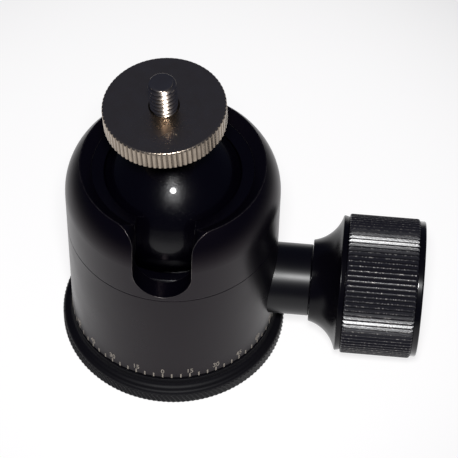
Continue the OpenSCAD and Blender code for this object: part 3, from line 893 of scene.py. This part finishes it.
@dataclass(frozen=True)
class PanBase:
    """The knurled base with the thread insert that the housing pans on."""

    base_r: float = 27.4
    foot: float = 0.4  # chamfer under the rim
    body_r: float = 25.0
    band_h: float = 3.1
    lip_in: float = 0.15  # how far the ring above the knurl is set in
    lip_up: float = 0.05
    flange_h: float = 6.5
    round_r: float = 0.95
    cove_r: float = 1.3
    boss_r: float = 18.0
    boss_z: float = 12.3
    roof: float = 0.8  # metal over the thread insert
    insert_r: float = 7.55
    groove_r: float = 16.4
    groove_z: Span = (8.8, 11.6)
    snap_r: float = 17.6
    snap_z: Span = (7.65, 8.45)
    teeth: int = 144
    tooth_depth: float = 0.22
    slope: float = 0.48  # teeth that pass for a millimetre of height: 30 degrees

    def section(self) -> tuple[Corner, ...]:
        """Draws the base's half section, from the insert's bore round to the boss.

        Returns:
            The section's corners.
        """
        top = self.band_h + 2 * self.lip_up + self.round_r
        turn = (self.base_r - self.lip_in - self.round_r, top - self.round_r)
        cove = (self.body_r + self.cove_r, top + self.cove_r)
        grooves = []
        for floor, (low, high) in ((self.snap_r, self.snap_z), (self.groove_r, self.groove_z)):
            grooves += [(self.boss_r, low, 0.0), *rows(floor, low, high, 1), (self.boss_r, high, 0.0)]
        return (
            (0.0, self.boss_z - self.roof, 0.0),
            (self.insert_r, self.boss_z - self.roof, 0.0),
            (self.insert_r, 0.0, 0.1),
            (self.base_r - self.foot, 0.0, 0.05),
            *rows(self.base_r, self.foot, self.band_h, 16),
            (self.base_r - self.lip_in, self.band_h + self.lip_up, 0.0),
            *arc(turn, self.round_r, 0.0, 82.0, 8),
            *arc(cove, self.cove_r, 262.0, 180.0, 9),
            (self.body_r, self.flange_h, 0.12),
            (self.boss_r, self.flange_h, 0.0),
            *grooves,
            (self.boss_r, self.boss_z, 0.0),
            (0.0, self.boss_z, 0.0),
        )

    def build(self) -> None:
        """Turns the base and dresses what it carries."""
        sizes = (self.teeth, self.tooth_depth, self.base_r, 0.0, self.band_h + 0.01)
        knurl = Knurl(*sizes, land=0.15, root=0.1, helix=self.slope)
        names = ("pan_base_ring", "pan_base", "base", "black_anodised")
        Turned(*names, BASE_BLACK, UPRIGHT, self.section(), False, self.teeth * 6, knurl).build()
        dress(["tripod_thread_insert", "pan_snap_ring"], STEEL)
        dress(["pan_glide_washer"], BLACK_ACETAL)


@dataclass(frozen=True)
class Housing:
    """The two screwed housings with the collar, the seat and the clamp's inner pieces."""

    finishes: tuple[tuple[Finish, tuple[str, ...]], ...] = (
        (HOUSING_SATIN, ("lower_housing",)),
        (HOUSING_GLOSS, ("upper_housing",)),
        (COLLAR_BLACK, ("collar_ring", "pressure_cup")),
        (BLACK_ACETAL, ("upper_seat_ring", "seat_liner")),
        (BLACK_STEEL, ("housing_lock_screws", "stud_grub_screw", "knob_screw")),
        (STEEL, ("wedge_tray", "guide_pins", "preload_springs", "clamp_wedge")),
        (RUBBER, ("cup_o_ring",)),
    )

    def build(self) -> None:
        """Dresses the housings and what they hold."""
        for finish, nodes in self.finishes:
            dress(nodes, finish)


@dataclass(frozen=True)
class PanScale:
    """Ticks and numerals of the pan scale on the lower housing."""

    radius: float = 25.0
    step_deg: int = 5
    end_deg: int = 165
    front_deg: int = -90  # where the scale's zero stands
    tick_low: float = 7.5
    tick_high: float = 8.9
    tick_wide: float = 0.33
    proud: float = 0.03
    label_step_deg: int = 15
    label_low: float = 9.15
    label_high: float = 1.65
    label_narrow: float = 0.78
    label_bold: float = 0.01
    font_share: float = 0.73  # the font's numerals stand this share of its size
    blocked_deg: tuple[int, ...] = (90,)  # the knob's sleeve stands there

    def ticks(self) -> Object:
        """Sets the row of ticks.

        Returns:
            The ticks as one piece.
        """
        values = {
            "Ticks": 2 * self.end_deg // self.step_deg + 1,
            "First": math.radians(self.front_deg - self.end_deg),
            "Step": math.radians(self.step_deg),
            "Radius": self.radius * MM,
            "Middle": (self.tick_low + self.tick_high) / 2 * MM,
            "Tall": (self.tick_high - self.tick_low) * MM,
            "Wide": self.tick_wide * MM,
            "Thick": 2 * self.proud * MM,
            "Material": dressed(MARK_PAINT),
        }
        mesh = grown("pan_scale_ticks", bpy.data.meshes.new("ticks_seed"), tick_tree(), values)
        return as_piece("pan_scale_ticks", mesh, "housing")

    def numeral(self, value: int) -> Mesh:
        """Makes one numeral flat, centred, with its foot at zero.

        Args:
            value: The number.

        Returns:
            Its mesh.
        """
        curve = bpy.data.curves.new(f"numeral_{value}", "FONT")
        curve.body, curve.align_x, curve.align_y = str(value), "CENTER", "BOTTOM_BASELINE"
        curve.size = self.label_high / self.font_share * MM
        curve.extrude = self.proud * MM
        curve.offset = self.label_bold * MM
        return made_plain(new_object(curve.name, curve))

    def numerals(self) -> Object:
        """Wraps all numerals round the housing.

        Returns:
            The numerals as one piece.
        """
        whole = bmesh.new()
        for angle in range(-self.end_deg, self.end_deg + 1, self.label_step_deg):
            if angle in self.blocked_deg:
                continue
            mesh = self.numeral(abs(angle))
            for vertex in mesh.vertices:
                across, high, out = vertex.co
                turn = math.radians(angle + self.front_deg) + across * self.label_narrow / (self.radius * MM)
                reach = self.radius * MM + out
                vertex.co = (reach * math.cos(turn), reach * math.sin(turn), self.label_low * MM + high)
            whole.from_mesh(mesh)
            bpy.data.meshes.remove(mesh)
        bmesh.ops.remove_doubles(whole, verts=whole.verts, dist=TEXT_WELD_M)
        joined = bpy.data.meshes.new("pan_scale_numerals")
        whole.to_mesh(joined)
        whole.free()
        joined.materials.clear()
        joined.materials.append(dressed(MARK_PAINT))
        return as_piece("pan_scale_numerals", joined, "housing")

    def build(self) -> None:
        """Puts the scale on the housing."""
        self.ticks()
        self.numerals()


@dataclass(frozen=True)
class MainKnob:
    """The clamping knob on its sleeve: hub, knurled grip and end cap."""

    hub_x: float = 33.45
    hub_r: float = 9.85
    foot: float = 0.12  # chamfer at the hub's foot
    flare_r: float = 8.9
    flare_in: float = 1.8
    flare_start: float = 108.5  # degrees at which the flare leaves the rim
    rim_w: float = 1.45
    rim_r: float = 16.4
    rim_face: float = 0.4  # flat ring between the flare and the rim's edge
    rim_in: float = 0.3  # taper of the rim towards the grip
    rim_low: float = 0.15
    knob_r: float = 16.85
    core_r: float = 12.05
    grip_len: float = 16.9
    fit: float = 0.05  # clearance of the grip and the cap on the hub
    grip_edge: float = 0.5
    washer_r: float = 7.4
    washer_deep: float = 0.85
    spindle_r: float = 4.05
    spindle_end: float = 4.35  # depth of the screw's seat below the hub's end
    screw_r: float = 2.05
    head_r: float = 4.05
    head_deep: float = 2.2
    dish: float = 0.5
    dish_slope: float = 0.3
    teeth: int = 88
    tooth_depth: float = 0.38

    @property
    def flare_y(self) -> float:
        """Radius at which the centre of the flare's arc lies."""
        return self.hub_r + math.sqrt(self.flare_r**2 - self.flare_in**2)

    @property
    def flare_h(self) -> float:
        """Length of the flare along the axis."""
        out = self.flare_y - self.rim_r + self.rim_face
        return math.sqrt(self.flare_r**2 - out**2) - self.flare_in

    @property
    def grip_x(self) -> float:
        """Where the grip starts."""
        return self.hub_x + self.flare_h + self.rim_w

    @property
    def grip_end(self) -> float:
        """Where the grip ends."""
        return self.grip_x + self.grip_len

    def hub(self) -> Turned:
        """Plans the hub with its flare and inner rim.

        Returns:
            The hub, ready to be built.
        """
        end, washer = self.grip_end, self.hub_x + self.washer_deep
        head, seat = end - self.head_deep, end - self.spindle_end
        last = 180 - math.degrees(math.asin((self.flare_in + self.foot) / self.flare_r))
        corners = (
            (self.screw_r, head, 0.0),
            (self.head_r, head, 0.0),
            (self.head_r, end, 0.0),
            (self.core_r, end, 0.0),
            (self.core_r, self.grip_x, 0.0),
            (self.rim_r - self.rim_in, self.grip_x, 0.08),
            (self.rim_r, self.hub_x + self.flare_h + self.rim_low, 0.3),
            *arc((self.flare_y, self.hub_x - self.flare_in), self.flare_r, self.flare_start, last, 22),
            (self.hub_r - self.foot, self.hub_x, 0.0),
            (self.washer_r, self.hub_x, 0.0),
            (self.washer_r, washer, 0.0),
            (self.spindle_r, washer, 0.0),
            (self.spindle_r, seat, 0.0),
            (self.screw_r, seat, 0.0),
        )
        names = ("main_knob_hub", "knob_hub", "main_knob", "black_anodised")
        return Turned(*names, KNOB_BLACK, SPINDLE, corners, True)

    def grip(self) -> Turned:
        """Plans the grip with its V-shaped teeth.

        Returns:
            The grip, ready to be built.
        """
        low, high, edge, bore = self.grip_x + self.fit, self.grip_end, self.grip_edge, self.core_r + self.fit
        wall = self.knob_r - edge
        corners = (
            (bore, low, 0.0),
            (wall, low, 0.0),
            *arc((wall, low + edge), edge, -60.0, -30.0, 2),
            *rows(self.knob_r, low + edge, high - edge, 6),
            *arc((wall, high - edge), edge, 30.0, 60.0, 2),
            (wall, high, 0.0),
            (bore, high, 0.0),
        )
        knurl = Knurl(self.teeth, self.tooth_depth, self.knob_r, 0.0, PAST, land=1 / 6)
        names = ("main_knob_grip", "knob_grip", "main_knob", "worn_black_anodised")
        return Turned(*names, KNOB_WORN, SPINDLE, corners, True, self.teeth * 12, knurl)

    def cap(self) -> Turned:
        """Plans the end cap with its dished face.

        Returns:
            The cap, ready to be built.
        """
        low = self.grip_end + self.fit
        high = low + self.rim_w
        corners = (
            (0.0, low, 0.0),
            (self.rim_r, low, 0.08),
            (self.rim_r, high, 0.35),
            (self.core_r, high, 0.12),
            (self.core_r - self.dish_slope, high - self.dish, 0.15),
            (0.0, high - self.dish, 0.0),
        )
        names = ("main_knob_cap", "knob_end_cap", "main_knob", "black_anodised")
        return Turned(*names, CAP_BLACK, SPINDLE, corners)

    def build(self) -> None:
        """Turns the knob's pieces and dresses its spindle and sleeve."""
        for piece in (self.hub(), self.grip(), self.cap()):
            piece.build()
        dress(["spindle_sleeve"], SLEEVE_BLACK)
        dress(["main_spindle", "spindle_circlip"], STEEL)
        dress(["spindle_washer"], BRASS)


@dataclass(frozen=True)
class PanLock:
    """The small knob at the back that locks the panning."""

    neck_r: float = 3.2
    bore_r: float = 2.05
    bore_deep: float = 4.05
    knob_r: float = 7.0
    shoulder: float = 0.6  # chamfer at both ends of the teeth
    start_y: float = 25.4
    knob_y: float = 28.2
    length: float = 8.8
    dish_r: float = 5.0
    dish: float = 0.3
    teeth: int = 40
    tooth_depth: float = 0.4

    def build(self) -> None:
        """Turns the knob and dresses its screw and shoe."""
        start, end, wall = self.knob_y, self.knob_y + self.length, self.knob_r - self.shoulder
        corners = (
            (0.0, start + self.bore_deep, 0.0),
            (self.bore_r, start + self.bore_deep, 0.0),
            (self.bore_r, self.start_y, 0.0),
            (self.neck_r, self.start_y, 0.15),
            (self.neck_r, start, 0.0),
            (wall, start, 0.1),
            *rows(self.knob_r, start + self.shoulder, end - self.shoulder, 4),
            (wall, end, 0.1),
            (self.dish_r, end, 0.1),
            (self.dish_r - self.dish, end - self.dish, 0.15),
            (0.0, end - self.dish, 0.0),
        )
        knurl = Knurl(self.teeth, self.tooth_depth, self.knob_r, start - 0.1, PAST, land=0.15, root=0.05)
        names = ("pan_lock_grip", "pan_knob", "pan_lock_knob", "worn_black_anodised")
        Turned(*names, PAN_KNOB_BLACK, PAN_LOCK, corners, False, self.teeth * 8, knurl).build()
        dress(["pan_lock_screw"], STEEL)
        dress(["pan_brake_shoe"], BRASS)


@dataclass(frozen=True)
class BallAndPlatform:
    """The ball with its stem, the camera platform and the stud."""

    ball_r: float = 18.0
    flat_z: float = 17.0
    stem_bore_r: float = 3.05
    bore_z: float = 6.0
    platform_r: float = 13.85
    platform_z: Span = (27.55, 32.95)
    edge: float = 0.5
    platform_bore_r: float = 3.225
    sink_r: float = 3.5
    teeth: int = 75
    tooth_depth: float = 0.25
    stud_r: float = 3.175
    stud_z: Span = (19.9, 40.75)
    stud_foot: float = 0.4  # chamfer at the stud's lower end
    stud_edge: float = 1.1  # rounding of its tip
    thread_z: float = 31.2
    pitch: float = 1.27
    thread_depth: float = 0.72

    def ball(self) -> Turned:
        """Plans the polished ball with the stem's bore.

        Returns:
            The ball, ready to be built.
        """
        flat = math.degrees(math.asin(self.flat_z / self.ball_r))
        corners = (
            (0.0, -self.ball_r, 0.0),
            *arc((0.0, 0.0), self.ball_r, -89.0, flat, 150),
            (self.stem_bore_r, self.flat_z, 0.0),
            (self.stem_bore_r, self.bore_z, 0.0),
            (0.0, self.bore_z, 0.0),
        )
        names = ("polished_ball", "ball", "ball", "polished_ball")
        return Turned(*names, BALL_BLACK, STEM, corners, columns=240)

    def platform(self) -> Turned:
        """Plans the knurled camera platform.

        Returns:
            The platform, ready to be built.
        """
        (low, high), edge, wall = self.platform_z, self.edge, self.platform_r - self.edge
        corners = (
            (self.platform_bore_r, low, 0.0),
            (wall, low, 0.06),
            *rows(self.platform_r, low + edge, high - edge - 0.1, 6),
            *arc((wall, high - edge), edge, 0.0, 90.0, 6),
            (self.sink_r, high, 0.05),
            (self.platform_bore_r, high - (self.sink_r - self.platform_bore_r), 0.0),
        )
        knurl = Knurl(self.teeth, self.tooth_depth, self.platform_r, 0.0, PAST, land=0.45, root=0.12)
        names = ("camera_platform_disc", "camera_platform", "platform", "nickel_plate")
        return Turned(*names, NICKEL, STEM, corners, True, self.teeth * 10, knurl)

    def stud(self) -> Turned:
        """Plans the camera stud with its right-handed thread.

        Returns:
            The stud, ready to be built.
        """
        (low, high), tip = self.stud_z, self.stud_edge
        corners = (
            (0.0, low, 0.0),
            (self.stud_r - self.stud_foot, low, 0.0),
            (self.stud_r, low + self.stud_foot, 0.0),
            (self.stud_r, self.thread_z - 0.05, 0.0),
            *rows(self.stud_r, self.thread_z, high - tip, 72),
            *arc((self.stud_r - tip, high - tip), tip, 9.0, 90.0, 9),
            (0.0, high, 0.0),
        )
        sizes = (-1.0, self.thread_depth, self.stud_r, self.thread_z, high + 1)
        thread = Knurl(*sizes, land=0.14, root=0.14, helix=1 / self.pitch, follow=0.0)
        names = ("threaded_stud", "camera_stud", "stem", "nickel_plate")
        return Turned(*names, STUD_NICKEL, STEM, corners, columns=96, knurl=thread)

    def build(self) -> None:
        """Turns the pieces and dresses the stem."""
        for piece in (self.ball(), self.platform(), self.stud()):
            piece.build()
        dress(["ball_stem"], STEM_BLACK)


# ---- studio ----


@dataclass(frozen=True)
class Studio:
    """The pale floor, the dim room, the flash and the camera."""

    azimuth_deg: float = 4.05
    elevation_deg: float = 51.92
    roll_deg: float = 1.5
    distance: float = 505.8
    aim_right: float = 13.19
    aim_up: float = 33.87
    lens: float = 167.69
    sensor: float = 36.0
    clip: float = 10.0  # nearest distance that is drawn
    floor_colour: str = "#f7f6f6"
    floor_shade: str = "#898989"  # what the flash lights of the card, beside its glow
    floor_r: float = 1600.0
    floor_sides: int = 96
    lit_r: float = 150.0  # where the card's glow has halved
    lit_y: float = 25.0
    fall_power: float = 5.0  # how steeply the glow falls there
    glow: float = 0.85
    far_glow: float = 0.03
    front_share: float = 0.4  # the front of the card glows less
    front_y: Span = (-190.0, -90.0)
    room_colour: str = "#3c4153"
    flash_up: float = 45.0  # from the lens
    flash_ahead: float = 20.0
    flash_size: float = 70.0
    flash_power: float = 2.2  # watts
    flash_aim: tuple[float, float, float] = (0.0, 0.0, 40.0)

    def level_right(self) -> Vector:
        """Returns the camera's right before its roll."""
        az = math.radians(self.azimuth_deg)
        return Vector((math.cos(az), math.sin(az), 0.0))

    def axes(self) -> tuple[Vector, Vector, Vector]:
        """Works out how the camera is turned, with its roll.

        Returns:
            Its right, up and back.
        """
        az, el, roll = (math.radians(v) for v in (self.azimuth_deg, self.elevation_deg, self.roll_deg))
        back = Vector((math.sin(az) * math.cos(el), -math.cos(az) * math.cos(el), math.sin(el)))
        right = self.level_right()
        up = back.cross(right)
        cosine, sine = math.cos(roll), math.sin(roll)
        return right * cosine + up * sine, up * cosine - right * sine, back

    def eye(self) -> Vector:
        """Returns where the camera stands, in millimetres."""
        aim = self.level_right() * self.aim_right + Vector((0, 0, self.aim_up))
        return aim + self.axes()[2] * self.distance

    def camera(self) -> None:
        """Sets the camera."""
        data = bpy.data.cameras.new("view")
        data.lens, data.sensor_width, data.clip_start = self.lens, self.sensor, self.clip * MM
        camera = new_object("view", data)
        camera.matrix_world = Matrix.Translation(self.eye() * MM) @ Matrix(self.axes()).transposed().to_4x4()
        bpy.context.scene.camera = camera

    def flash(self) -> None:
        """Hangs the round flash over the camera."""
        data = bpy.data.lights.new("flash", "AREA")
        data.shape, data.size, data.energy = "DISK", self.flash_size * MM, self.flash_power
        _, up, back = self.axes()
        spot = self.eye() + up * self.flash_up - back * self.flash_ahead
        lamp = new_object("flash", data)
        lamp.location = spot * MM
        lamp.rotation_euler = (spot - Vector(self.flash_aim)).to_track_quat("Z", "Y").to_euler()

    def floor(self) -> None:
        """Lays a round pale floor."""
        mesh = bpy.data.meshes.new("floor")
        turns = [math.tau * i / self.floor_sides for i in range(self.floor_sides)]
        reach = self.floor_r * MM
        spots = [(reach * math.cos(t), reach * math.sin(t), 0.0) for t in turns]
        mesh.from_pydata(spots, [], [range(self.floor_sides)])
        mesh.materials.append(self.floor_material())
        new_object("floor", mesh)

    def floor_material(self) -> Material:
        """Makes white card: it takes the shadow near the object and glows beyond it.

        Returns:
            The material.
        """
        values = {
            "Base Color": linear(self.floor_shade),
            "Roughness": 0.9,
            "Specular IOR Level": 0.0,
            "Emission Color": linear(self.floor_colour),
        }
        material, shader = new_material("white_card", values)
        add = partial(add_node, material.node_tree)
        here = add(COORDINATES).outputs["Object"]
        middle = (0.0, self.lit_y * MM, 0.0)
        far = add(VECTOR_MATH, (here, middle), operation="DISTANCE").outputs["Value"]
        reach = add(MATH, (far, self.lit_r * MM), operation="DIVIDE")
        fall = add(MATH, (reach, self.fall_power), operation="POWER")
        fall = add(MATH, (fall, 1.0))
        glow = add(MATH, (self.glow, fall), operation="DIVIDE")
        glow = add(MATH, (glow, self.far_glow))
        near = add(SEPARATE, (here,)).outputs["Y"]
        limits = (near, *(y * MM for y in self.front_y), self.front_share, 1.0)
        front = add(MAP_RANGE, limits, interpolation_type="SMOOTHSTEP")
        glow = add(MATH, (glow, front), operation="MULTIPLY")
        plug(shader, {"Emission Strength": glow})
        return material

    def world(self) -> None:
        """Sets a dim room round the floor: a faint blue that the black metal shows."""
        world = bpy.data.worlds.new("room")
        world.use_nodes = True
        plug(world.node_tree.nodes["Background"], {"Color": linear(self.room_colour)})
        bpy.context.scene.world = world

    def build(self) -> None:
        """Sets the whole studio."""
        self.camera()
        self.floor()
        self.world()
        self.flash()
        bpy.context.scene.view_settings.view_transform = "Standard"


def main() -> None:
    """Builds the ball head's looks and its studio."""
    logging.basicConfig(level=logging.INFO, format="%(message)s")
    for assembly in (PanBase(), Housing(), PanScale(), MainKnob(), PanLock(), BallAndPlatform(), Studio()):
        assembly.build()


if __name__ == "__main__":
    main()
